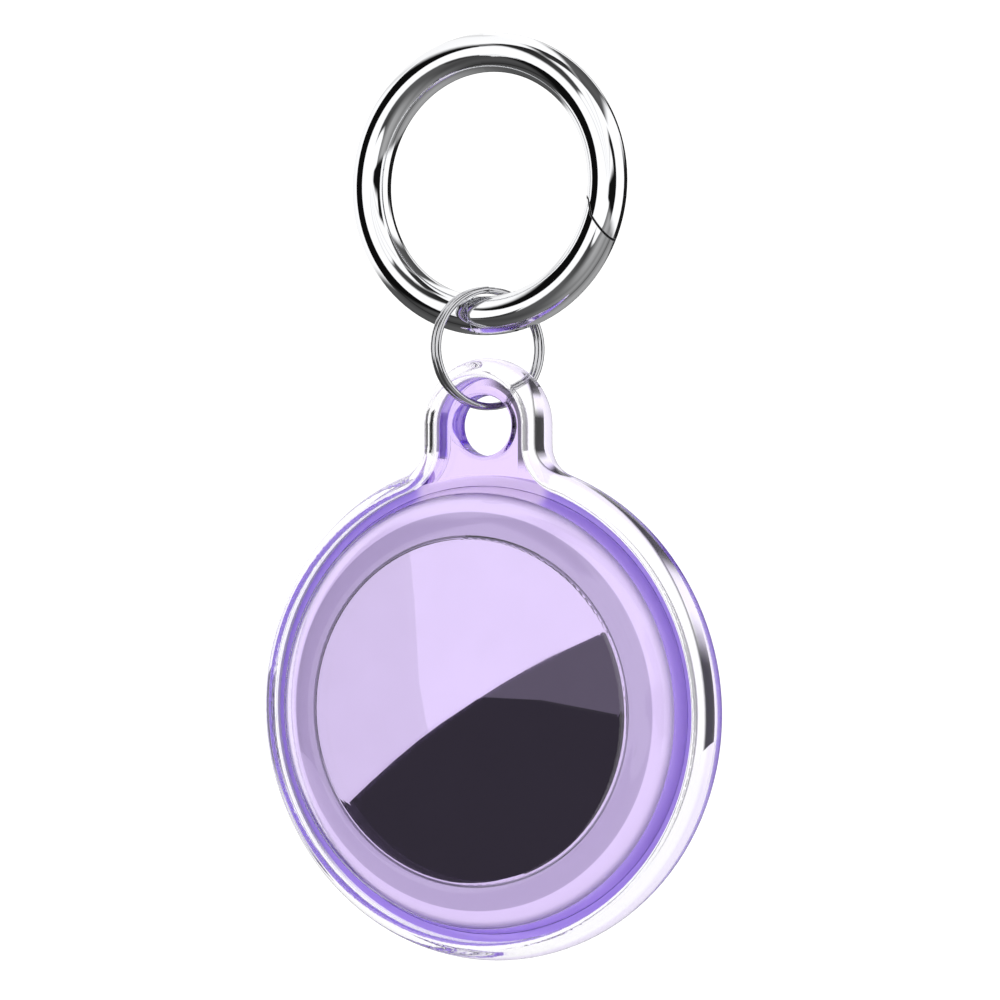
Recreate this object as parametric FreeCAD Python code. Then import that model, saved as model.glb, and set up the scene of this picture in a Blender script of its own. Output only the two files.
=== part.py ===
import FreeCAD, Part
import math
import os

from FreeCAD import Rotation, Vector

# A round item tracker in a waterproof case that hangs from a split ring and a spring-gate ring.
# Millimetres. +X right, -Y front, +Z up. The origin is the centre of the gate ring.
# Turned parts are drawn as (radius, depth), where depth is the distance in front of the case's middle plane.

# --- driving dimensions ---
gate_ring_radius = 9.75  # to the middle of the wire
gate_wire_radius = 1.45
seam_gap = 0.11
seam_corners = ((7.0, 0.25), (8.75, -1.5), (9.08, -2.65), (12.0, -6.95))  # free end, from inside to outside
hinge_angle = -76.0  # where the gate's pin sits on the ring
pin_radius = 0.4
pin_half_length = 1.16  # its holes are blind, so the outside of the wire is closed
tongue_half = 0.475  # half the thickness of the blade between the gate's cheeks
cheek_gap = 0.06
knuckle_radius = 3.35  # the cheeks' round end
spring_coil = 0.66  # torsion spring round the pin
spring_wire = 0.075
spring_pitch = 0.17
spring_turns = 2
pocket_depth = 0.56

link_drop = 12.17  # gate ring's centre down to the split ring's centre
link_radius = 4.32
link_wire = 0.27  # radius of the split ring's wire
link_pitch = 0.555  # from one coil to the other
link_turn = 54.0  # how far the split ring is turned from the case's plane

case_drop = 38.9  # gate ring's centre down to the case's centre
case_radius = 18.55
tab_half = 5.0
eye_height = 21.0  # case's centre up to the hole's centre
eye_radius = 2.25
neck_fillet = 2.4  # between the disc and the tab
frame_half = 2.22  # half the bumper frame's thickness
frame_width = 1.42
frame_round = 2.05
fit_gap = 0.04  # between the frame and the rear cover
plate_half = 1.0  # half the thickness of the rear cover's tab plate

tag_radius = 15.95
tag_front = 3.0
tag_back = 5.0
tag_wall = 1.0
door_radius = 12.8
cover_wall = 1.1
cavity_gap = 0.15  # between the tag and the covers
skirt_outer = 16.5
skirt_gap = 0.05
ledge_depth = -0.6  # where the seal ring lies
seal_height = 0.5

cell_radius = 10.0
cell_front = 1.2
cell_height = 3.2
tray_floor = 0.35
lug_count = 3
lug_width = 24.0  # degrees
door_turn = 30.0  # from locked to the lug slots

case_centre = Vector(0, 0, -case_drop)
front_axis = Vector(0, 1, 0)


def save(node, shape):
    os.makedirs("parts", exist_ok=True)
    shape.exportStep("parts/" + node + ".step")
    kinds = "valid" if shape.isValid() else "NOT VALID"
    print(node, len(shape.Solids), "solids", round(shape.Volume, 3), "mm3", kinds)


# --- shared shapes ---
def at(radius, depth):
    """The point of a turned outline at this radius and depth."""
    return case_centre + Vector(radius, -depth, 0)


def outline_face(start, *steps):
    """A closed face. A step is (radius, depth), an arc's middle and end, or a list of points to curve through."""
    edges, here = [], at(*start)
    for step in steps + (start,):
        if isinstance(step, list):
            curve = Part.BSplineCurve()
            points = [at(*point) for point in step]
            curve.interpolate([here] + points)
            edges.append(curve.toShape())
            here = points[-1]
        elif len(step) == 4:
            end = at(*step[2:])
            edges.append(Part.Arc(here, at(*step[:2]), end).toShape())
            here = end
        elif (at(*step) - here).Length > 1e-6:
            edges.append(Part.LineSegment(here, at(*step)).toShape())
            here = at(*step)
    return Part.Face(Part.Wire(edges))


def turned(start, *steps, first=0.0, sweep=360.0):
    """A turned solid about the case's axis, or a sector of one that begins at the angle first."""
    face = outline_face(start, *steps)
    if first:
        face.rotate(case_centre, front_axis, first)
    return face.revolve(case_centre, front_axis, sweep)


def ring(inner, outer, back, front, first=0.0, sweep=360.0):
    return turned((inner, back), (outer, back), (outer, front), (inner, front), first=first, sweep=sweep)


def disc(radius, back, front):
    return Part.makeCylinder(radius, front - back, at(0, front), front_axis)


def cross_hole(radius, x, z, half):
    """A cylinder along Y, centred on the middle plane."""
    return Part.makeCylinder(radius, 2 * half, Vector(x, -half, z), front_axis)


def prism(corners, half):
    """A polygon of (x, z) corners, made solid along Y."""
    points = [Vector(x, -half, z) for x, z in corners]
    return Part.Face(Part.makePolygon(points + points[:1])).extrude(front_axis * 2 * half)


def dome(radius, depth, steps=8):
    """Points of a quarter oval from the rim at (radius, 0) to the middle of the back at (0, -depth)."""
    turns = [math.pi / 2 * step / steps for step in range(1, steps + 1)]
    return [(radius * math.cos(turn), -depth * math.sin(turn)) for turn in turns]


def case_slab(inset, half):
    """The case's outline, a disc with its tab, moved in by inset and made solid along Y."""
    big, tab, fillet = case_radius - inset, tab_half - inset, neck_fillet + inset
    neck_x = tab + fillet
    neck_z = math.sqrt((big + fillet) ** 2 - neck_x**2)
    lean = math.atan2(neck_z, neck_x)

    def spot(x, z):
        return case_centre + Vector(x, -half, z)

    def neck(side):
        half_way = math.pi + lean / 2  # from the tab's side at pi round to the disc at pi + lean
        middle = spot(side * (neck_x + fillet * math.cos(half_way)), neck_z + fillet * math.sin(half_way))
        low = spot(side * big * math.cos(lean), big * math.sin(lean))
        return Part.Arc(spot(side * tab, neck_z), middle, low).toShape()

    low_right = spot(big * math.cos(lean), big * math.sin(lean))
    low_left = spot(-big * math.cos(lean), big * math.sin(lean))
    edges = [
        Part.Arc(low_left, spot(0, -big), low_right).toShape(),
        neck(1),
        Part.LineSegment(spot(tab, neck_z), spot(tab, eye_height)).toShape(),
        Part.Arc(spot(tab, eye_height), spot(0, eye_height + tab), spot(-tab, eye_height)).toShape(),
        Part.LineSegment(spot(-tab, eye_height), spot(-tab, neck_z)).toShape(),
        neck(-1),
    ]
    wire = Part.Wire(Part.__sortEdges__(edges))
    return Part.Face(wire).extrude(front_axis * 2 * half)


def flat_edges(solid, depth):
    """The edges that lie wholly in the plane at this depth."""
    return [
        edge
        for edge in solid.Edges
        if abs(edge.BoundBox.YMin + depth) < 1e-4 and abs(edge.BoundBox.YMax + depth) < 1e-4
    ]


# --- the gate ring ---
hinge_turn = math.radians(hinge_angle)
pin_x = gate_ring_radius * math.cos(hinge_turn)
pin_z = gate_ring_radius * math.sin(hinge_turn)
wide = 3.0  # half a cutter's thickness, more than the wire's


def gate_zone(gap):
    """The part of the ring that belongs to the gate, from the free end's seam to the hinge pin."""
    seam = [(x, z - gap) for x, z in seam_corners]
    return prism(seam + [(14.0, -14.0), (pin_x, -14.0), (pin_x, -6.0)], wide)


def slab_left_of_pin(half):
    height = 2 * gate_wire_radius + 1
    return Part.makeBox(4.0, 2 * half, height, Vector(pin_x - 4.0, -half, pin_z - height / 2))


def gate_ring_parts():
    wire = Part.makeTorus(gate_ring_radius, gate_wire_radius, Vector(), front_axis)
    knuckle = cross_hole(knuckle_radius, pin_x, pin_z, wide)
    socket = cross_hole(knuckle_radius + 0.1, pin_x, pin_z, wide)
    pin = cross_hole(pin_radius, pin_x, pin_z, pin_half_length)

    tongue_disc = cross_hole(gate_wire_radius - 0.05, pin_x, pin_z, tongue_half)
    near_pin = cross_hole(knuckle_radius + 0.6, pin_x, pin_z, wide)
    blade = slab_left_of_pin(tongue_half).common(near_pin).fuse(tongue_disc)
    body = wire.cut(gate_zone(0)).cut(socket).fuse(wire.common(blade)).cut(pin)

    pocket = Part.makeCylinder(0.85, pocket_depth, Vector(pin_x, -tongue_half, pin_z), front_axis)
    groove_z = pin_z - spring_coil - 0.12
    front_groove = Part.makeBox(1.5, 0.2, 0.24, Vector(pin_x, -tongue_half, groove_z))
    back_groove = Part.makeBox(1.6, pocket_depth, 0.24, Vector(pin_x - 1.6, -tongue_half, groove_z))
    body = body.cut(pocket).cut(front_groove).cut(back_groove)

    slot_half = tongue_half + cheek_gap
    slot = slab_left_of_pin(slot_half).fuse(cross_hole(gate_wire_radius + 0.1, pin_x, pin_z, slot_half))
    running = cross_hole(pin_radius + 0.05, pin_x, pin_z, pin_half_length + 0.03)
    gate = wire.common(gate_zone(seam_gap).fuse(knuckle)).cut(slot).cut(running)

    return body.removeSplitter(), gate.removeSplitter(), pin


def gate_spring():
    """A small torsion spring round the pin, in a pocket of the blade, with a leg to each side."""
    front_y = -tongue_half + spring_wire + 0.02
    helix = Part.makeHelix(spring_pitch, spring_pitch * spring_turns, spring_coil)
    profile = Part.Wire(Part.makeCircle(spring_wire, Vector(spring_coil, 0, 0), Vector(0, 1, 0)))
    coil = Part.Wire(helix).makePipeShell([profile], True, True)
    coil.rotate(Vector(), Vector(0, 0, 1), 90)
    coil.rotate(Vector(), Vector(1, 0, 0), -90)
    coil.translate(Vector(pin_x, front_y, pin_z))
    low = pin_z - spring_coil
    back_y = front_y + spring_pitch * spring_turns
    gate_leg = Part.makeCylinder(spring_wire, 1.3, Vector(pin_x, front_y, low), Vector(1, 0, 0))
    body_leg = Part.makeCylinder(spring_wire, 1.4, Vector(pin_x, back_y, low), Vector(-1, 0, 0))
    return coil.fuse(gate_leg).fuse(body_leg)


# --- the split ring ---
def split_ring():
    """Two coils side by side. The wire crosses from one to the other near the top, between its two ends."""
    cross, half_cross = 78.0, 14.0  # degrees round the ring, from +X

    def spot(turn, shift):
        turn = math.radians(turn)
        return Vector(link_radius * math.cos(turn), shift, link_radius * math.sin(turn))

    def coil(shift):
        start, sweep = cross + half_cross, 360.0 - 2 * half_cross
        disc_face = Part.Face(Part.Wire(Part.makeCircle(link_wire, spot(start, shift), tangent(start))))
        return disc_face.revolve(Vector(), Vector(0, -1, 0), sweep)

    def tangent(turn):
        turn = math.radians(turn)
        return Vector(-math.sin(turn), 0, math.cos(turn))

    half = link_pitch / 2
    front, back = coil(-half), coil(half)
    steps = 8
    points = []
    for step in range(steps + 1):
        share = step / steps
        ease = share * share * (3 - 2 * share)
        points.append(spot(cross - half_cross + 2 * half_cross * share, -half + 2 * half * ease))
    path = Part.BSplineCurve()
    before, after = tangent(cross - half_cross), tangent(cross + half_cross)
    path.interpolate(points, InitialTangent=before, FinalTangent=after)
    start_circle = Part.Wire(Part.makeCircle(link_wire, points[0], before))
    jog = Part.Wire(path.toShape()).makePipeShell([start_circle], True, True)
    whole = front.fuse(jog).fuse(back)
    whole.rotate(Vector(), Vector(0, 0, 1), link_turn)
    whole.translate(Vector(0, 0, -link_drop))
    return whole


# --- the case ---
def bumper_frame():
    outer = case_slab(0, frame_half)
    edges = flat_edges(outer, frame_half) + flat_edges(outer, -frame_half)
    outer = outer.makeFillet(frame_round, edges)
    frame = outer.cut(case_slab(frame_width, frame_half + 1))
    return frame.makeFillet(0.3, lip_edges(frame))


def lip_edges(frame):
    """The frame's inner edges: those that the slab of its inner outline cuts, on both faces."""
    inner = case_slab(frame_width, frame_half + 1)
    walls = [face for face in inner.Faces if abs(face.normalAt(0, 0).y) < 0.5]
    found = []
    for edge in frame.Edges:
        middle = edge.valueAt((edge.FirstParameter + edge.LastParameter) / 2)
        on_wall = any(wall.distToShape(Part.Vertex(middle))[0] < 1e-4 for wall in walls)
        crosswise = edge.BoundBox.YLength > 1
        if on_wall and not crosswise:
            found.append(edge)
    return found


def rear_cover():
    """The tinted back shell: the tab's plate, the wall round the tag and the domed back."""
    plate = case_slab(frame_width + fit_gap, plate_half)
    wall = case_radius - frame_width - fit_gap
    back_flat, back_depth = 6.0, tag_back + cavity_gap + cover_wall
    shell = turned(
        (0, 0),
        (wall, 0),
        (wall, -2.0),
        (wall - 0.4, -2.35),
        (12.6, -5.05, back_flat, -back_depth),
        (0, -back_depth),
    )
    body = plate.fuse(shell)
    inside = tag_radius + cavity_gap
    cavity = turned((0, 2), (inside, 2), (inside, 0), dome(inside, tag_back + cavity_gap))
    bore = ring(inside - 1, skirt_outer + skirt_gap, ledge_depth, 2)
    eye = cross_hole(eye_radius, 0, eye_height - case_drop, 3)
    body = body.cut(cavity).cut(bore).cut(eye).removeSplitter()
    eye_edges = [edge for edge in body.Edges if is_circle(edge, eye_radius)]
    return body.makeFillet(0.45, eye_edges)


def is_circle(edge, radius):
    try:
        return abs(edge.Curve.Radius - radius) < 1e-5
    except (AttributeError, TypeError):  # the edge isn't round
        return False


def seal_ring():
    inner = tag_radius + cavity_gap + 0.03
    outer = skirt_outer
    top = ledge_depth + seal_height
    mid = (inner + outer) / 2
    return turned((inner, ledge_depth), (outer, ledge_depth), (outer, top - 0.1), (mid, top, inner, top - 0.1))


def front_cover():
    """The tinted window: a flat middle, a rounded shoulder and a skirt that plugs into the rear cover."""
    low = ledge_depth + seal_height + 0.03
    inside = tag_radius + 0.1
    window_in = tag_front + 0.2
    window_out = window_in + cover_wall
    flat, plateau_base, plateau_top = 12.5, skirt_outer - 0.04, 16.08
    return turned(
        (0, window_in),
        (flat, window_in),
        (15.25, 2.0, inside, 0.3),
        (inside, low),
        (skirt_outer, low),
        (skirt_outer, plate_half),
        (plateau_base, plate_half),
        (plateau_top, 2.1),
        (plateau_top - 0.02, 2.25, plateau_top - 0.12, 2.42),
        (14.7, 3.75, flat, window_out),
        (0, window_out),
    )


# --- the tag ---
def tag_shell():
    """The white plastic body, open in front, with the ledge that the battery door's lugs turn under."""
    bore, ledge = door_radius + 0.1, 11.9
    inner = tag_radius - tag_wall
    shell = turned(
        (bore, tag_front),
        (bore + 2.2, 2.1, tag_radius, 0),
        dome(tag_radius, tag_back),
        (0, -tag_back + tag_wall),
        list(reversed([(inner, 0)] + dome(inner, tag_back - tag_wall)[:-1])),
        (14.5, 1.2, 13.4, 1.95),
        (ledge, 1.95),
        (ledge, 2.45),
        (bore, 2.45),
    )
    for step in range(lug_count):
        first = step * 360 / lug_count + door_turn - 2
        shell = shell.cut(ring(ledge - 0.5, bore, 1.9, 2.5, first=first, sweep=lug_width + 4))
    return shell


def battery_door():
    """The polished steel lid: a disc with a rounded edge, a skirt and three bayonet lugs."""
    lid = turned(
        (0, 2.55), (door_radius, 2.55), (door_radius, tag_front - 0.2),
        (door_radius - 0.06, tag_front - 0.06, door_radius - 0.2, tag_front), (0, tag_front),
    )
    skirt = ring(11.3, 11.75, 1.35, 2.55)
    for step in range(lug_count):
        lug = ring(11.7, 12.4, 1.35, 1.85, first=step * 360 / lug_count, sweep=lug_width)
        skirt = skirt.fuse(lug)
    return lid.fuse(skirt).removeSplitter()


def coin_cell():
    back = cell_front - cell_height
    return turned(
        (0, back), (8.4, back), (8.6, back + 0.25), (9.6, back + 0.25),
        (9.88, back + 0.37, cell_radius, back + 0.65), (cell_radius, cell_front - 0.2),
        (9.94, cell_front - 0.06, cell_radius - 0.2, cell_front), (0, cell_front),
    )


tray_back = cell_front - cell_height - 0.1 - tray_floor


def battery_tray():
    floor = ring(1.8, 10.8, tray_back, tray_back + tray_floor)
    wall = ring(10.2, 10.8, tray_back, 1.0)
    return floor.fuse(wall).removeSplitter()


def positive_contacts():
    """Two sprung strips that come up outside the tray's wall and bend in over the cell's rim."""
    strips = [
        turned(
            (10.82, -1.4), (10.96, -1.4), (10.96, 1.34), (9.3, 1.34), (9.3, cell_front), (10.82, cell_front),
            first=first, sweep=13,
        )
        for first in (75, 255)
    ]
    return Part.makeCompound(strips)


def negative_contact():
    return turned((0, tray_back), (1.6, tray_back), (1.6, tray_back + 0.15), (0.9, -2.0), (0, -2.0))


board_back = tray_back - 0.1 - 0.4


def logic_board():
    return ring(4.6, 9.3, board_back, board_back + 0.4)


def board_box(turn, radius, long, wide_, tall):
    """A small component on the board's back face, its middle at this angle and radius."""
    box = Part.makeBox(long, tall, wide_, Vector(-long / 2, -board_back, radius - wide_ / 2))
    box.rotate(Vector(), front_axis, turn)
    return box.translated(case_centre)


def board_parts():
    turns = (35, 62, 150, 168, 186, 232, 250, 330)
    return Part.makeCompound([board_box(turn, 6.3, 1.2, 0.8, 0.3) for turn in turns])


def antenna_carrier():
    return ring(11.05, 13.2, -1.5, 0.9)


def antenna_traces():
    return Part.makeCompound([ring(13.2, 13.3, -0.9, 0.3, first=first, sweep=80) for first in (10, 130, 250)])


def build():
    body, gate, pin = gate_ring_parts()
    save("ring_body", body)
    save("ring_gate", gate)
    save("hinge_pin", pin)
    save("gate_spring", gate_spring())
    save("split_ring", split_ring())
    save("bumper_frame", bumper_frame())
    save("rear_cover", rear_cover())
    save("seal_ring", seal_ring())
    save("front_cover", front_cover())
    save("tag_shell", tag_shell())
    save("battery_door", battery_door())
    save("coin_cell", coin_cell())
    save("battery_tray", battery_tray())
    save("positive_contacts", positive_contacts())
    save("negative_contact", negative_contact())
    save("logic_board", logic_board())
    save("radio_chip", board_box(0, 6.4, 4.0, 2.6, 0.3))
    save("processor_chip", board_box(110, 6.4, 3.2, 2.6, 0.3))
    save("motion_sensor", board_box(210, 6.4, 1.8, 1.8, 0.3))
    save("board_parts", board_parts())
    save("speaker_magnet", disc(3.5, tray_back - 0.95, tray_back))
    save("voice_coil", ring(3.7, 4.3, tray_back - 1.3, tray_back - 0.5))
    save("antenna_carrier", antenna_carrier())
    save("antenna_traces", antenna_traces())


build()
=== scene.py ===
import math

import bpy
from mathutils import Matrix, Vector


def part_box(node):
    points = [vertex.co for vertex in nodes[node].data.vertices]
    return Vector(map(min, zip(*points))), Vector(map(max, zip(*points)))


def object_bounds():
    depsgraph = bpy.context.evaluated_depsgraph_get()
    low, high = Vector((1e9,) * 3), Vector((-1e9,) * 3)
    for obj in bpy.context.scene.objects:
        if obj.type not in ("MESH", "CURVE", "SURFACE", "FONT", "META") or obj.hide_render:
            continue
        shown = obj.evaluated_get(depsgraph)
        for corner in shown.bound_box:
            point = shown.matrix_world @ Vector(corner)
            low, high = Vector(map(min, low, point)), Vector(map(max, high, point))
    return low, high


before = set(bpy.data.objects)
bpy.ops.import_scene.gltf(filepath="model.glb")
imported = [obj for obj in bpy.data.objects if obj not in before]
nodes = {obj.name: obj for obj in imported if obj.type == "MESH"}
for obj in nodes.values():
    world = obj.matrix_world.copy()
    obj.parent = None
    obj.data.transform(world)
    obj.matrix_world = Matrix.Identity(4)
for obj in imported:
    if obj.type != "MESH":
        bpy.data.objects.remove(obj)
cadBox = [list(corner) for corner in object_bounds()]
mm = 0.001
print("frame loaded:", len(nodes), "nodes")


class Sock:
    # an output socket that sums, products and comparisons can be written with
    def __init__(self, tree, out):
        self.tree, self.out = tree, out

    def math(self, operation, other=None):
        values = {0: self} if other is None else {0: self, 1: other}
        return self.tree.add("ShaderNodeMath", {"operation": operation}, values)

    def __add__(self, other):
        return self.math("ADD", other)

    def __sub__(self, other):
        return self.math("SUBTRACT", other)

    def __mul__(self, other):
        return self.math("MULTIPLY", other)

    def __pow__(self, other):
        return self.math("POWER", other)

    __radd__ = __add__
    __rmul__ = __mul__

    def __rsub__(self, other):
        return self.tree.add("ShaderNodeMath", {"operation": "SUBTRACT"}, {0: other, 1: self})

    def over(self, edge, soft):  # 0 below the edge, 1 above it
        settings = {"interpolation_type": "SMOOTHSTEP"}
        values = {0: self, 1: edge - soft, 2: edge + soft}
        return self.tree.add("ShaderNodeMapRange", settings, values)

    def between(self, low, high, soft):
        return self.over(low, soft) * (1 - self.over(high, soft))


class Tree:
    # a material's or a world's nodes; add() makes any node and gives back one of its outputs
    def __init__(self, owner):
        owner.use_nodes = True
        self.nodes, self.links = owner.node_tree.nodes, owner.node_tree.links
        self.nodes.clear()

    def add(self, kind, settings, values, output=0):
        node = self.nodes.new(kind)
        for name, value in settings.items():
            if name == "stops":
                self.setStops(node.color_ramp, value)
            else:
                setattr(node, name, value)
        for name, value in values.items():
            if isinstance(value, Sock):
                self.links.new(value.out, node.inputs[name])
            else:
                node.inputs[name].default_value = value
        return Sock(self, node.outputs[output]) if node.outputs else None

    def setStops(self, ramp, stops):
        while len(ramp.elements) < len(stops):
            ramp.elements.new(0.5)
        for element, (place, colour) in zip(ramp.elements, stops):
            element.position, element.color = place, colour

    def mix(self, factor, first, second):  # 6, 7 and 2 are the node's colour sockets
        values = {0: factor, 6: first, 7: second}
        return self.add("ShaderNodeMix", {"data_type": "RGBA"}, values, 2)

    def place(self):
        return self.add("ShaderNodeTexCoord", {}, {}, "Object")

    def axis(self, index):  # one object coordinate in millimetres
        return self.add("ShaderNodeSeparateXYZ", {}, {0: self.place()}, index) * (1 / mm)

    def noise(self, scale, detail, stretch=(1, 1, 1)):
        spot = self.add("ShaderNodeMapping", {}, {"Vector": self.place(), "Scale": stretch})
        values = {"Vector": spot, "Scale": scale, "Detail": detail}
        return self.add("ShaderNodeTexNoise", {}, values)

    def bump(self, height, strength, distance):
        values = {"Height": height, "Strength": strength, "Distance": distance}
        return self.add("ShaderNodeBump", {}, values)

    def finish(self, values):
        shader = self.add("ShaderNodeBsdfPrincipled", {}, values)
        self.add("ShaderNodeOutputMaterial", {}, {"Surface": shader})

    def finishClear(self, sheet, paint, share, inside, density):
        # a clear sheet with paint over a share of it, and a colour that deepens inside it
        clear = self.add("ShaderNodeBsdfPrincipled", {}, sheet)
        over = self.add("ShaderNodeBsdfPrincipled", {}, paint)
        both = self.add("ShaderNodeMixShader", {}, {0: share, 1: clear, 2: over})
        tint = self.add("ShaderNodeVolumeAbsorption", {}, {"Color": inside, "Density": density})
        self.add("ShaderNodeOutputMaterial", {}, {"Surface": both, "Volume": tint})


def grey(level):
    return (level, level, level, 1)


def darken(colour, share):
    return [c * share for c in colour[:3]] + [1]


# camera: level, above the case's middle and to the right of its front
caseLow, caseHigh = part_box("front_cover")
caseZ = (caseLow[2] + caseHigh[2]) / 2
cameraSetup = {
    "azimuth": 26.3,
    "distance": 0.273,
    "aboveCase": 15.5 * mm,
    "aside": 0.9 * mm,
    "lens": 132.7,
    "sensor": 36,
    "clipStart": 0.005,
}


def aimCamera(setup):
    turn = math.radians(setup["azimuth"])
    toCamera = Vector((math.sin(turn), -math.cos(turn), 0))
    toRight = Vector((math.cos(turn), math.sin(turn), 0))
    spot = toRight * setup["aside"] + toCamera * setup["distance"]
    spot.z = caseZ + setup["aboveCase"]
    bpy.ops.object.camera_add(location=spot, rotation=(math.pi / 2, 0, turn))
    camera = bpy.context.object
    camera.name = "camera"
    camera.data.lens = setup["lens"]
    camera.data.sensor_width = setup["sensor"]
    camera.data.clip_start = setup["clipStart"]
    bpy.context.scene.camera = camera
    return spot, toCamera, toRight


cameraSpot, toCamera, toRight = aimCamera(cameraSetup)
print("camera placed")

# studio: white for the eye and for matt surfaces, with dark gaps between the lamps for metal
# and clear plastic. Angles run round the line of sight in degrees, from the right over the top.
# Each stop is how far towards the camera a direction leans, -1 to 1, and how bright it is there.
studioSetup = {
    "strength": 1.15,
    "straight": (-0.64, 0.04),  # light that goes almost straight through finds plain white
    "right": [
        (-1, 0.01), (-0.35, 0.01), (-0.33, 1), (0.62, 1), (0.64, 0.006), (0.985, 0.006), (0.999, 1),
    ],
    "sectors": [
        {"from": 18, "to": 42, "soft": 9, "stops": [
            (-1, 0.01), (-0.62, 0.01), (-0.6, 1), (0.6, 1), (0.62, 0.01), (0.8, 0.01), (0.82, 1),
            (1, 1),
        ]},
        {"from": 42, "to": 76, "soft": 5, "stops": [
            (-1, 0.3), (-0.7, 1), (-0.66, 0.06), (0.1, 0.1), (0.48, 0.07), (0.51, 1), (1, 1),
        ]},
        {"from": 76, "to": 106, "soft": 5, "stops": [
            (-1, 0.4), (-0.95, 0.5), (-0.9, 1), (0.16, 1), (0.18, 0.01), (0.48, 0.04), (0.51, 1),
            (1, 1),
        ]},
        {"from": 106, "to": 140, "soft": 7, "stops": [
            (-1, 0.4), (-0.95, 0.9), (0.38, 1), (0.4, 0.01), (0.6, 0.03), (0.8, 0.06), (0.82, 1),
            (1, 1),
        ]},
    ],
    "leftFrom": (140, 7),
    "left": [(-1, 0.3), (-0.95, 0.9), (-0.24, 1), (-0.22, 0.004), (0.5, 0.004), (0.52, 1), (1, 1)],
    "groundArc": (-158, -23, 5),
    "groundShade": (-92, 34),  # the ground is darker on the left
    "groundShadeDepth": 0.75,
    "groundEnd": (0.97, 0.004),
    "ground": [
        (-1, 0.1), (-0.9, 0.3), (-0.5, 0.35), (-0.1, 0.22), (0.0, 0.07), (0.05, 0.18), (0.3, 0.3),
        (0.5, 0.22), (0.65, 0.33), (0.8, 0.38), (0.93, 0.17), (0.95, 1), (1, 1),
    ],
    "bounces": {"max_bounces": 24, "transmission_bounces": 24, "glossy_bounces": 12},
}


def makeStudio(setup):
    scene = bpy.context.scene
    scene.world = bpy.data.worlds.new("studio")
    tree = Tree(scene.world)
    ray = tree.add("ShaderNodeTexCoord", {}, {}, "Generated")

    def along(axis):
        settings = {"operation": "DOT_PRODUCT"}
        return tree.add("ShaderNodeVectorMath", settings, {0: ray, 1: axis}, "Value")

    ahead, right, up = along(toCamera), along(toRight), along((0, 0, 1))
    lean = ahead * 0.5 + 0.5  # a ramp runs from 0 to 1
    turn = up.math("ARCTAN2", right) * (180 / math.pi)

    def profile(stops):
        ramp = [((leans + 1) / 2, grey(level)) for leans, level in stops]
        return tree.add("ShaderNodeValToRGB", {"stops": ramp}, {"Fac": lean})

    tone = profile(setup["right"])
    for sector in setup["sectors"]:
        inSector = turn.between(sector["from"], sector["to"], sector["soft"])
        tone = tree.mix(inSector, tone, profile(sector["stops"]))
    tone = tree.mix(turn.math("ABSOLUTE").over(*setup["leftFrom"]), tone, profile(setup["left"]))
    depth = setup["groundShadeDepth"]
    lightness = turn.over(*setup["groundShade"]) * depth + (1 - depth)
    ground = tree.mix(lightness, grey(0), profile(setup["ground"]))
    ground = tree.mix(lean.over(*setup["groundEnd"]), ground, grey(1))
    tone = tree.mix(turn.between(*setup["groundArc"]), tone, ground)

    def path(output):
        return tree.add("ShaderNodeLightPath", {}, {}, output)

    straight = path("Is Transmission Ray") * (1 - ahead.over(*setup["straight"]))
    plain = (path("Is Camera Ray") + path("Diffuse Depth") + straight).math("MINIMUM", 1.0)
    tone = tree.mix(plain, tone, grey(1))
    values = {"Color": tone, "Strength": setup["strength"]}
    background = tree.add("ShaderNodeBackground", {}, values)
    tree.add("ShaderNodeOutputWorld", {}, {"Surface": background})
    scene.view_settings.view_transform = "Standard"
    scene.cycles.blur_glossy = 0.0  # light reaches the tag through the window unblurred
    for kind, count in setup["bounces"].items():
        setattr(scene.cycles, kind, count)


floorSetup = {"drop": 60 * mm, "radius": 0.42, "sides": 96, "white": 0.95, "rough": 0.9}


def makeFloor(setup):
    bpy.ops.object.select_all(action="DESELECT")
    low = cadBox[0][2] - setup["drop"]
    bpy.ops.mesh.primitive_circle_add(
        vertices=setup["sides"], radius=setup["radius"], fill_type="NGON", location=(0, 0, low))
    floor = bpy.context.object
    floor.name = "floor"
    material = bpy.data.materials.new("floorWhite")
    Tree(material).finish({"Base Color": grey(setup["white"]), "Roughness": setup["rough"]})
    floor.data.materials.append(material)
    floor.visible_glossy = False  # the metal takes its grey ground from the studio


makeStudio(studioSetup)
makeFloor(floorSetup)
print("studio lit")

# cards that the polished lid mirrors; edges are millimetres right of and above the lid's middle
horizon = [
    (-12.5, -9.5), (-10.1, -7.3), (-8.1, -5.53), (-6.07, -3.83), (-4.07, -2.29), (-2.08, -0.91),
    (-0.1, 0.32),
]
lowCorners = [(14.0, -15.0), (-12.5, -15.0)]
cardSetup = {
    "distance": 150 * mm,
    "cards": {
        "cardDark": {"level": 0.16, "nearer": 0, "edge": horizon + [
            (2.84, 2.07), (4.79, 3.13), (6.72, 4.11), (8.64, 4.94), (10.55, 5.77), (14.0, 7.0),
        ] + lowCorners},
        "cardDarker": {"level": 0.045, "nearer": 1 * mm, "edge": horizon + [
            (0.9, 0.95), (1.5, 1.1), (3.8, 1.05), (6.1, 1.0), (8.4, 0.66), (10.6, 0.34),
            (14.0, -0.2),
        ] + lowCorners},
        "cardSoft": {"level": 0.98, "nearer": -1 * mm, "edge": [
            (-14, -15), (-14, 15), (-6.0, 15), (-4.6, 11), (-4.3, 8), (-4.1, 5), (-3.9, 2),
            (-3.3, -1), (-2.0, -4), (0, -7), (0, -15),
        ]},
    },
}


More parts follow.
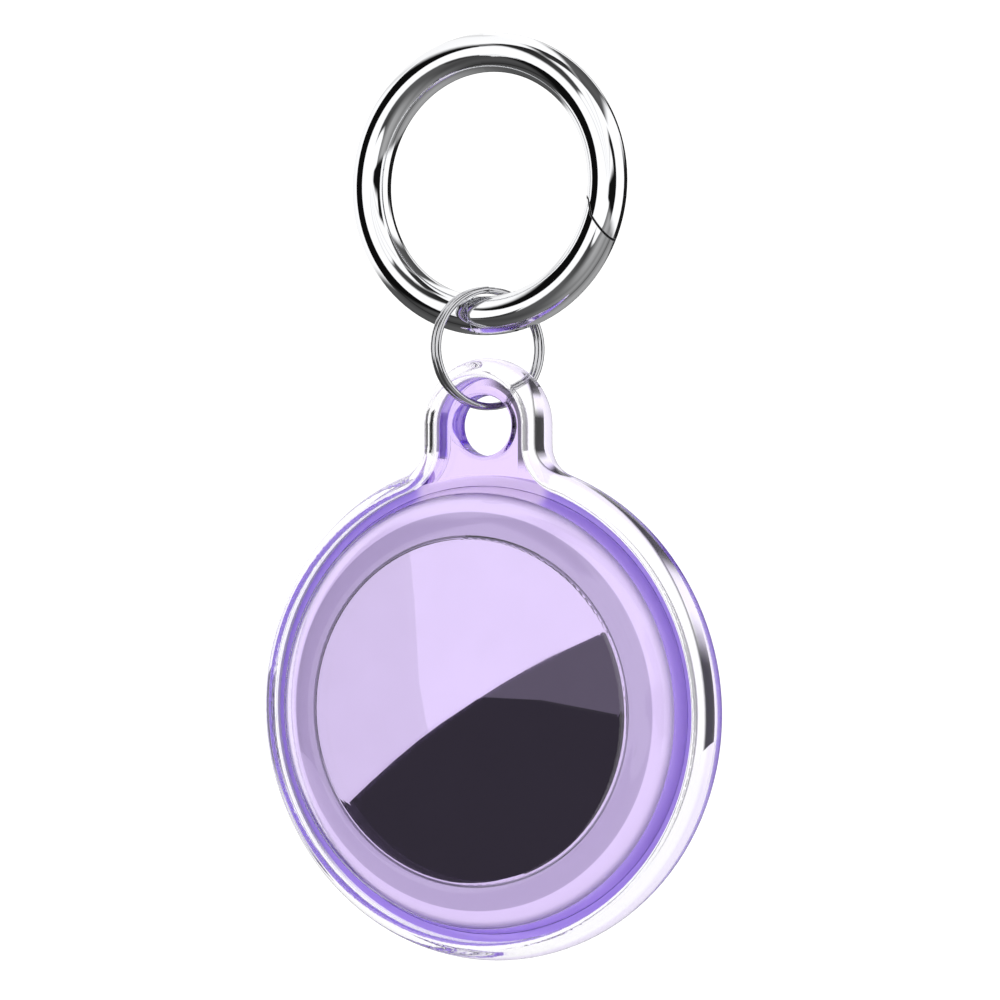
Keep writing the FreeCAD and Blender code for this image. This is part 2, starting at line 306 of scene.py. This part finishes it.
def makeCard(name, card, distance):
    # throws the lid's outline back along the mirrored line of sight
    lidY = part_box("battery_door")[0][1]
    cardY = lidY - distance + card["nearer"]
    corners = []
    for x, z in card["edge"]:
        spot = Vector((x * mm, lidY, caseZ + z * mm))
        sight = spot - cameraSpot
        sight.y = -sight.y
        corners.append(spot + sight * ((cardY - lidY) / sight.y))
    mesh = bpy.data.meshes.new(name)
    mesh.from_pydata(corners, [], [range(len(corners))])
    sheet = bpy.data.objects.new(name, mesh)
    bpy.context.scene.collection.objects.link(sheet)
    material = bpy.data.materials.new(name)
    tree = Tree(material)
    glow = tree.add("ShaderNodeEmission", {}, {"Color": grey(card["level"]), "Strength": 1.0})
    tree.add("ShaderNodeOutputMaterial", {}, {"Surface": glow})
    mesh.materials.append(material)
    sheet.visible_camera = sheet.visible_diffuse = sheet.visible_shadow = False


for name, card in cardSetup["cards"].items():
    makeCard(name, card, cardSetup["distance"])
print("cards set")

# finishes; in their dictionaries a place on a piece is in millimetres, and its last number is
# how softly it starts or ends, and a pattern has its scale, its detail and how it is stretched
metalSetup = {
    "cloud": (260, 2.0),
    "hair": (900, 5.0, (1, 1, 9)),
    "worn": (0.5, 0.9, 0.08),
    "darker": 0.93,
    "hairDepth": 0.02 * mm,
}


def scratches(tree):
    # hair scratches that gather where the faint cloudiness is strongest
    cloud, hair = tree.noise(*metalSetup["cloud"]), tree.noise(*metalSetup["hair"])
    return cloud, hair, cloud.between(*metalSetup["worn"]) * hair


def polishedMetal(tree, colour, rough, scuff, dent=0.02):
    cloud, hair, worn = scratches(tree)
    values = {
        "Base Color": tree.mix(cloud, colour, darken(colour, metalSetup["darker"])),
        "Metallic": 1.0,
        "Roughness": worn * scuff + rough,
    }
    if dent:
        values["Normal"] = tree.bump(hair, dent, metalSetup["hairDepth"])
    tree.finish(values)


# the gate's seam; each leg has the direction across it, its place along that, and its heights
seamSetup = {
    "legs": [
        {"across": (0.707, 0.707), "place": 5.09, "heights": (-1.5, 1.0)},
        {"across": (0.961, 0.276), "place": 7.98, "heights": (-2.65, -1.5)},
        {"across": (0.827, 0.562), "place": 5.99, "heights": (-8, -2.65)},
    ],
    "line": (0.085, 0.015),
    "legSoft": 0.02,
    "rightOf": (7.5, 0.1),
    "grime": (0.012, 0.012, 0.014, 1),
    "grimeRough": 0.5,
    "darker": 0.95,
}


def gateChrome(tree, colour, rough, scuff):
    # bright plating, with the dark line that settles along the gate's seam
    x, z = tree.axis(0), tree.axis(2)
    seam = 0.0
    for leg in seamSetup["legs"]:
        acrossX, acrossZ = leg["across"]
        away = (x * acrossX + z * acrossZ - leg["place"]).math("ABSOLUTE")
        line = 1 - away.over(*seamSetup["line"])
        seam = line * z.between(*leg["heights"], seamSetup["legSoft"]) + seam
    seam = seam * x.over(*seamSetup["rightOf"])
    cloud, _, worn = scratches(tree)
    plating = tree.mix(cloud, colour, darken(colour, seamSetup["darker"]))
    tree.finish({
        "Base Color": tree.mix(seam, plating, seamSetup["grime"]),
        "Metallic": 1 - seam,
        "Roughness": worn * scuff + rough + seam * seamSetup["grimeRough"],
    })


tabHoleHeight = 21.0  # millimetres above the case's middle


def height(tree):
    # millimetres above the case's middle
    return tree.axis(2) - caseZ / mm


def caseRadius(tree):
    # millimetres from the case's middle axis
    x, z = tree.axis(0), height(tree)
    return (x * x + z * z) ** 0.5


def tabRadius(tree):
    # millimetres from the tab's middle line, or round the hole's axis above it
    x, above = tree.axis(0), (height(tree) - tabHoleHeight).math("MAXIMUM", 0.0)
    return (x * x + above * above) ** 0.5


tintSetup = {
    "refraction": 1.5,
    "inside": (0.54, 0.30, 0.95, 1),
    "edge": (0.47, 0.31, 0.97, 1),  # painted light: this deep purple stands in for the colour that the cut edges gather from the whole sheet
    "paintedEdgeShare": 0.72,
    "edgeSoft": 0.04,
    "edgeRough": 0.12,
    "edgeSpecks": 0.1,
    "rimFrom": (3.48, 0.03),
    "rimAbove": (18.6, 0.3),
    "pale": (0.80, 0.64, 0.98, 1),  # the painted purple is paler on the tab's neck, which has no cut edge
    "neckHalfWidth": (5.2, 0.5),
    "neckAbove": (14.5, 0.6),
    "shade": (0.04, 0.035, 0.055, 1),  # the right edge of the tab lies in the frame's shade
    "shadeShare": 0.85,
    "shadeFrom": (2.95, 0.03),
    "shadeAbove": (18.0, 0.6),
    "shadeRightOf": (0.6, 1.2),
    "specks": (5200, 2.0),
    "mattRing": (14.4, 16.0, 0.2),
    "mattSpecks": (0.55, 0.1),
    "waves": (120, 1.0),
    "waveHeight": 0.04,
    "waveDepth": 0.05 * mm,
}
rearSetup = {
    "surface": (0.82, 0.68, 0.99, 1),
    "density": 90.0,
    "edgeRing": (16.3, 17.3),
    "grain": 0.0,
}
frontSetup = {
    "surface": (0.92, 0.85, 0.995, 1),
    "density": 90.0,
    "edgeRing": (16.04, 18.0),
    "grain": 0.12,
}


def tintedPlastic(tree, cover):
    setup = tintSetup
    x, z, radius, tabOut = tree.axis(0), height(tree), caseRadius(tree), tabRadius(tree)
    neck = 1 - x.math("ABSOLUTE").over(*setup["neckHalfWidth"])
    onNeck = neck * z.over(*setup["neckAbove"])
    rim = tabOut.over(*setup["rimFrom"]) * z.over(*setup["rimAbove"])
    shaded = tabOut.over(*setup["shadeFrom"]) * z.over(*setup["shadeAbove"])
    shaded = shaded * x.over(*setup["shadeRightOf"])
    speck = tree.noise(*setup["specks"])
    matt = radius.between(*setup["mattRing"]) * speck.over(*setup["mattSpecks"])
    wave = tree.bump(tree.noise(*setup["waves"]), setup["waveHeight"], setup["waveDepth"])
    # painted light: a deep purple band round the rim and along the tab's rim, standing in for the
    # colour the sheet gathers there
    paintedEdgeColour = tree.mix(onNeck * (1 - rim), setup["edge"], setup["pale"])
    edgeRing = radius.between(*cover["edgeRing"], setup["edgeSoft"])
    share = edgeRing.math("MAXIMUM", rim) * setup["paintedEdgeShare"]
    share = share.math("MAXIMUM", shaded * setup["shadeShare"])
    sheet = {
        "Base Color": cover["surface"],
        "Roughness": matt * cover["grain"],
        "IOR": setup["refraction"],
        "Transmission Weight": 1.0,
        "Normal": wave,
    }
    edge = {
        "Base Color": tree.mix(shaded, paintedEdgeColour, setup["shade"]),
        "Roughness": speck * setup["edgeSpecks"] + setup["edgeRough"],
        "Normal": wave,
    }
    tree.finishClear(sheet, edge, share, setup["inside"], cover["density"])


frameSetup = {
    "refraction": 1.49,
    "inside": (0.93, 0.9, 0.98, 1),
    "density": 50.0,
    "tabAbove": (17.6, 0.4),
    "side": (0.80, 0.71, 0.98, 1),  # painted refraction: the outer wall picks up the lilac of the shell behind it
    "sideOfCase": (18.25, 0.1),
    "sideOfTab": (4.72, 0.1),
    "sideBehind": (-1.3, 0.3),
    "leftWall": (0.16, 0.11, 0.30, 1),  # the foot of the inner wall is in shade, except low down
    "rightWall": (0.035, 0.035, 0.045, 1),
    "wallMiddle": (0.0, 0.8),
    "wallShare": 0.75,
    "wallRough": 0.3,
    "wallOfCase": (17.18, 0.01),
    "wallOfTab": (3.62, 0.01),
    "wallFoot": (-1.35, -0.8, 0.12),
    "wallAbove": (-12.0, 3.0),
    "waves": (140, 1.0),
    "waveHeight": 0.04,
    "waveDepth": 0.05 * mm,
}


def clearPlastic(tree):
    setup = frameSetup
    x, y, z = tree.axis(0), tree.axis(1), height(tree)
    radius, tabOut = caseRadius(tree), tabRadius(tree)
    onTab = z.over(*setup["tabAbove"])
    outCase, outTab = radius.over(*setup["sideOfCase"]), tabOut.over(*setup["sideOfTab"])
    outer = outCase * (1 - onTab) + outTab * onTab
    inCase, inTab = 1 - radius.over(*setup["wallOfCase"]), 1 - tabOut.over(*setup["wallOfTab"])
    inner = inCase * (1 - onTab) + inTab * onTab
    foot = inner * y.between(*setup["wallFoot"]) * z.over(*setup["wallAbove"])
    onRight = x.over(*setup["wallMiddle"])
    wave = tree.bump(tree.noise(*setup["waves"]), setup["waveHeight"], setup["waveDepth"])
    sheet = {
        # painted refraction: the back of the outer wall is lilac for the shell seen through the
        # clear wall
        "Base Color": tree.mix(outer * y.over(*setup["sideBehind"]), grey(1), setup["side"]),
        "Roughness": 0.0,
        "IOR": setup["refraction"],
        "Transmission Weight": 1.0,
        "Normal": wave,
    }
    wall = {
        "Base Color": tree.mix(onRight, setup["leftWall"], setup["rightWall"]),
        "Roughness": setup["wallRough"],
    }
    tree.finishClear(sheet, wall, foot * setup["wallShare"], setup["inside"], setup["density"])


tagSetup = {
    "white": (0.97, 0.97, 0.98, 1),
    "speckWhite": (0.92, 0.92, 0.94, 1),
    "specks": (4200, 3.0),
    "speckRough": 0.12,
    "speckHeight": 0.08,
    "speckDepth": 0.02 * mm,
    "rough": 0.14,
    "band": (12.0, 14.4, 0.05),  # the shaded ring round the lid, on the front only
    "bandColour": (0.58, 0.57, 0.62, 1),
    "bandBefore": (0.5, 0.4),
}


def whitePlastic(tree):
    setup = tagSetup
    front = 1 - tree.axis(1).over(*setup["bandBefore"])
    band = caseRadius(tree).between(*setup["band"]) * front
    speck = tree.noise(*setup["specks"])
    white = tree.mix(speck, setup["white"], setup["speckWhite"])
    tree.finish({
        "Base Color": tree.mix(band, white, setup["bandColour"]),
        "Roughness": speck * setup["speckRough"] + setup["rough"],
        "Normal": tree.bump(speck, setup["speckHeight"], setup["speckDepth"]),
    })


mouldSetup = {
    "detail": 4.0,
    "paler": (1.25, 0.01),
    "speckRough": 0.2,
    "speckHeight": 0.2,
    "speckDepth": 0.02 * mm,
}


def moulded(tree, colour, rough, grain):
    speck = tree.noise(grain, mouldSetup["detail"])
    times, plus = mouldSetup["paler"]
    paler = [min(1, c * times + plus) for c in colour[:3]] + [1]
    tree.finish({
        "Base Color": tree.mix(speck, colour, paler),
        "Roughness": speck * mouldSetup["speckRough"] + rough,
        "Normal": tree.bump(speck, mouldSetup["speckHeight"], mouldSetup["speckDepth"]),
    })


coilSetup = {
    "turns": 4000.0,
    "gap": 0.55,
    "rough": 0.25,
    "turnRough": 0.15,
    "height": 0.5,
    "depth": 0.03 * mm,
}


def windings(tree, colour):
    settings = {"rings_direction": "Y"}
    values = {"Vector": tree.place(), "Scale": coilSetup["turns"]}
    turns = tree.add("ShaderNodeTexWave", settings, values)
    tree.finish({
        # painted shade: the colour is darker in the gaps between the turns
        "Base Color": tree.mix(turns, colour, darken(colour, coilSetup["gap"])),
        "Metallic": 1.0,
        "Roughness": turns * coilSetup["turnRough"] + coilSetup["rough"],
        "Normal": tree.bump(turns, coilSetup["height"], coilSetup["depth"]),
    })


boardSetup = {
    "mask": (0.012, 0.12, 0.05, 1),
    "track": (0.03, 0.25, 0.1, 1),
    "trackScale": 900.0,
    "trackWidth": (0.06, 0.02),
    "rough": 0.3,
    "trackRough": 0.1,
    "height": 0.3,
    "depth": 0.02 * mm,
}


def greenBoard(tree):
    settings = {"feature": "DISTANCE_TO_EDGE", "distance": "EUCLIDEAN"}
    values = {"Vector": tree.place(), "Scale": boardSetup["trackScale"]}
    away = tree.add("ShaderNodeTexVoronoi", settings, values)
    track = 1 - away.over(*boardSetup["trackWidth"])
    tree.finish({
        "Base Color": tree.mix(track, boardSetup["mask"], boardSetup["track"]),
        "Roughness": track * boardSetup["trackRough"] + boardSetup["rough"],
        "Normal": tree.bump(track, boardSetup["height"], boardSetup["depth"]),
    })


def shade(name, make, *details, **values):
    material = bpy.data.materials.new(name)
    make(Tree(material), *details, **values)
    return material


def metal(name, colour, rough, scuff, **values):
    return shade(name, polishedMetal, colour + (1,), rough=rough, scuff=scuff, **values)


def plastic(name, colour, rough, grain):
    return shade(name, moulded, colour + (1,), rough=rough, grain=grain)


chrome = shade("polishedChrome", gateChrome, (0.90, 0.905, 0.92, 1), rough=0.012, scuff=0.04)
finishes = {
    "ring_body": chrome,
    "ring_gate": chrome,
    "hinge_pin": metal("steelPin", (0.62, 0.62, 0.63), rough=0.14, scuff=0.2),
    "gate_spring": metal("springWire", (0.5, 0.5, 0.52), rough=0.2, scuff=0.2),
    "split_ring": metal("brightSteelWire", (0.62, 0.62, 0.64), rough=0.05, scuff=0.12),
    "bumper_frame": shade("clearFrame", clearPlastic),
    "rear_cover": shade("lilacRear", tintedPlastic, rearSetup),
    "front_cover": shade("lilacFront", tintedPlastic, frontSetup),
    "seal_ring": plastic("sealRubber", (0.2, 0.13, 0.45), rough=0.4, grain=3000),
    "tag_shell": shade("whitePlastic", whitePlastic),
    "battery_door": metal("polishedSteel", (0.9, 0.9, 0.91), rough=0.006, scuff=0.015, dent=0),
    "coin_cell": metal("cellSteel", (0.7, 0.7, 0.7), rough=0.22, scuff=0.2),
    "battery_tray": plastic("greyPlastic", (0.3, 0.3, 0.32), rough=0.45, grain=2500),
    "positive_contacts": metal("contactBrass", (0.8, 0.6, 0.25), rough=0.18, scuff=0.2),
    "negative_contact": metal("contactBrass2", (0.8, 0.6, 0.25), rough=0.2, scuff=0.2),
    "logic_board": shade("boardGreen", greenBoard),
    "speaker_magnet": metal("magnetNickel", (0.66, 0.64, 0.6), rough=0.15, scuff=0.15),
    "voice_coil": shade("coilCopper", windings, (0.85, 0.42, 0.2, 1)),
    "antenna_carrier": plastic("blackPlastic", (0.02, 0.02, 0.022), rough=0.4, grain=2500),
    "antenna_traces": metal("traceCopper", (0.85, 0.45, 0.25), rough=0.25, scuff=0.2),
}
chip = plastic("chipBlack", (0.015, 0.015, 0.017), rough=0.35, grain=6000)
for name, node in nodes.items():
    node.data.materials.clear()
    node.data.materials.append(finishes.get(name, chip))
print("finishes set")
